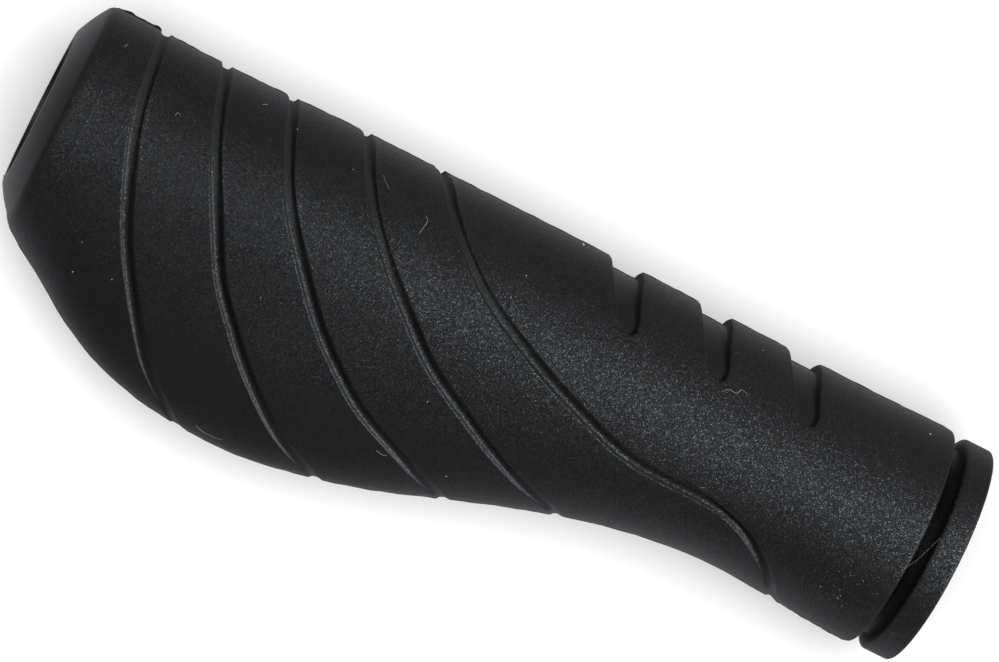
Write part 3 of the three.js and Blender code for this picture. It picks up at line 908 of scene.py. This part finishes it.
class GRIP_OT_lint(bpy.types.Operator):
    """Lay a few fibres and specks of dust on the sleeve"""

    bl_idname = "grip.lint"
    bl_label = "Lint and Dust"
    bl_options = {"REGISTER", "UNDO"}

    def execute(self, context):
        context.view_layer.update()
        self.sleeve = bpy.data.objects["sleeve"]
        self.points, self.faces = [], []
        for *places, radius in FIBRES:
            self.lay_fibre(*self.rest(smooth_through(places, steps=8)), radius)
        line = smooth_through(HAIR_OVER_CHANNEL, steps=8)
        angle = np.radians(line[:, 1])
        self.lay_fibre(skin_point(line[:, 0], angle), skin_directions(line[:, 0], angle)[2], HAIR_RADIUS)
        chance = random.Random(DUST_SEED)
        for x, degrees, radius in SPECKS:
            self.lay_grain(chance, x, degrees, radius, 1.0)
        (x, degrees), (reach, turn) = SCUFF_PATCH
        for _ in range(SCUFF_COUNT):
            self.lay_grain(
                chance, max(chance.gauss(x, reach), SCUFF_NEAREST), chance.gauss(degrees, turn),
                *(chance.uniform(*limits) for limits in SCUFF_SIZES))
        for _ in range(DUST_COUNT):
            self.lay_grain(chance, *(chance.uniform(*limits) for limits in DUST_PLACES + DUST_SIZES))
        lint = new_object("lint", np.vstack(self.points), self.faces)
        lint.data.materials.append(fibre_material(context.scene.grip_finish))
        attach(lint, "root")
        return {"FINISHED"}

    def rest(self, places):
        """Points on the sleeve at these places along the bore and round it, and which way is out."""
        x, degrees = np.array(places, float).T
        on_back = degrees > 90
        angle = np.radians(np.where(on_back, 180 - degrees, degrees))
        flip = np.where(on_back, -1, 1)[:, None] ** np.array((0, 0, 1))
        points, outward = skin_point(x, angle) * flip, skin_directions(x, angle)[2] * flip
        for index, (point, out) in enumerate(zip(points, outward)):
            found, spot, _, _ = self.sleeve.ray_cast(Vector((point + 2 * out) * MM), -Vector(out))
            if not found:
                raise RuntimeError("a place for lint misses the sleeve")
            points[index] = np.array(spot) / MM
        return points, outward

    def lay_fibre(self, points, outward, radius):
        """A thin fibre along these points, lying on what is under it."""
        tube, tube_faces = tube_along(points + outward * radius * 0.7, radius)
        start = sum(map(len, self.points))
        self.points.append(tube)
        self.faces += [tuple(start + corner for corner in face) for face in tube_faces]

    def lay_grain(self, chance, x, degrees, radius, stretch):
        """A speck, or a short fibre where the stretch is long, lying some way round on the skin."""
        point, outward = self.rest([(x, degrees)])
        along = unit(np.cross(outward, [(0.1, 1.0, 0.2)]))
        across = np.cross(outward, along)
        turn = chance.uniform(0, math.pi)
        heading = along * math.cos(turn) + across * math.sin(turn)
        run = np.linspace(-1, 1, 4)[:, None] * radius * stretch
        self.lay_fibre(point + heading * run, outward, radius)


class GRIP_OT_stage(bpy.types.Operator):
    """Set up the floor, the soft lights and the camera"""

    bl_idname = "grip.stage"
    bl_label = "Studio"
    bl_options = {"REGISTER", "UNDO"}

    def execute(self, context):
        scene = context.scene
        stage = scene.grip_stage
        half = stage.floor_size / 2 / MM
        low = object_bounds()[0][2] / MM
        floor = new_object(
            "floor", [(-half, -half, low), (half, -half, low), (half, half, low), (-half, half, low)],
            [(0, 1, 2, 3)])
        floor.data.materials.append(floor_material(stage))
        floor.visible_glossy = False
        floor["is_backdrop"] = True
        self.add_camera(scene)
        self.add_lights(scene, stage)
        return {"FINISHED"}

    def add_camera(self, scene):
        """A long lens above the grip, turned so that the bore slants across the frame."""
        swing, roll = math.radians(CAMERA_SWING), math.radians(CAMERA_ROLL)
        forward = Vector((-math.sin(swing), 0, -math.cos(swing)))
        level = Vector((-math.cos(swing), 0, math.sin(swing)))
        palmward = Vector((0, 1, 0))
        right = level * math.cos(roll) - palmward * math.sin(roll)
        down = level * math.sin(roll) + palmward * math.cos(roll)
        camera = bpy.data.objects.new("camera", bpy.data.cameras.new("camera"))
        camera.data.sensor_fit = "HORIZONTAL"
        camera.data.sensor_width = SENSOR_WIDTH
        camera.data.lens = CAMERA_LENS
        camera.data.clip_start = 0.01
        turned = Matrix((right, -down, -forward)).transposed().to_4x4()
        camera.matrix_world = Matrix.Translation(CAMERA_PLACE) @ turned
        scene.collection.objects.link(camera)
        scene.camera = camera

    def add_lights(self, scene, stage):
        """A soft light off the flange's end, a weaker one over the other, and a room paler below."""
        beside_floor = bpy.data.collections.new("all_but_the_floor")
        beside_floor.objects.link(bpy.data.objects["floor"])
        beside_floor.collection_objects[0].light_linking.link_state = "EXCLUDE"
        floor_only = bpy.data.collections.new("floor_only")
        floor_only.objects.link(bpy.data.objects["floor"])
        lights = (
            ("flange_side", *KEY_LIGHT, stage.key_power, beside_floor),
            ("cone_side", *END_LIGHT, stage.end_power, beside_floor),
            ("floor_wash", *WASH_LIGHT, stage.wash_power, floor_only),
        )
        for name, place, (length, depth), power, lit in lights:
            light = bpy.data.objects.new(name, bpy.data.lights.new(name, "AREA"))
            light.data.shape = "RECTANGLE"
            light.data.size, light.data.size_y = length, depth
            light.data.energy = power
            aim = (Vector(LIT_POINT) - Vector(place)).to_track_quat("-Z", "Y").to_matrix().to_4x4()
            light.matrix_world = Matrix.Translation(place) @ aim
            light.light_linking.receiver_collection = lit
            scene.collection.objects.link(light)
        bench = NodeBench(bpy.data.worlds.new("room"))
        direction = bench.add("SeparateXYZ", {0: bench.add("TexCoord").outputs["Generated"]}).outputs
        palmward = bench.math("MULTIPLY", bench.math("MAXIMUM", direction["Y"], 0.0), PALE_RISE)
        height = bench.math("SUBTRACT", direction["Z"], palmward)
        strength = bench.remap(height, *ROOM_HEIGHTS, stage.low_strength, stage.world_strength)
        room = bench.add("Background", {"Color": (*stage.room_colour, 1), "Strength": strength})
        scene.world = bench.finish(room, "OutputWorld")
        scene.view_settings.view_transform = "Standard"


class GRIP_PT_panel(bpy.types.Panel):
    """Lists the grip's parts and its settings"""

    bl_idname = "GRIP_PT_panel"
    bl_label = "Handlebar Grip"
    bl_space_type = "VIEW_3D"
    bl_region_type = "UI"
    bl_category = "Grip"

    def draw(self, context):
        layout = self.layout
        layout.use_property_split = True
        groups = (context.scene.grip_sizes, context.scene.grip_finish, context.scene.grip_stage)
        for group in groups:
            column = layout.column(align=True)
            for name in group.__annotations__:
                column.prop(group, name)
        for operator in (GRIP_OT_sleeve, GRIP_OT_lint, GRIP_OT_stage):
            layout.operator(operator.bl_idname)


CLASSES = (GripSizes, GripFinish, GripStage, GRIP_OT_sleeve, GRIP_OT_lint, GRIP_OT_stage, GRIP_PT_panel)


def register():
    for item in CLASSES:
        bpy.utils.register_class(item)
    bpy.types.Scene.grip_sizes = bpy.props.PointerProperty(type=GripSizes)
    bpy.types.Scene.grip_finish = bpy.props.PointerProperty(type=GripFinish)
    bpy.types.Scene.grip_stage = bpy.props.PointerProperty(type=GripStage)


def unregister():
    del bpy.types.Scene.grip_stage, bpy.types.Scene.grip_finish, bpy.types.Scene.grip_sizes
    for item in reversed(CLASSES):
        bpy.utils.unregister_class(item)


def main():
    register()
    bpy.ops.grip.sleeve()
    bpy.ops.grip.lint()
    bpy.ops.grip.stage()


if __name__ == "__main__":
    main()
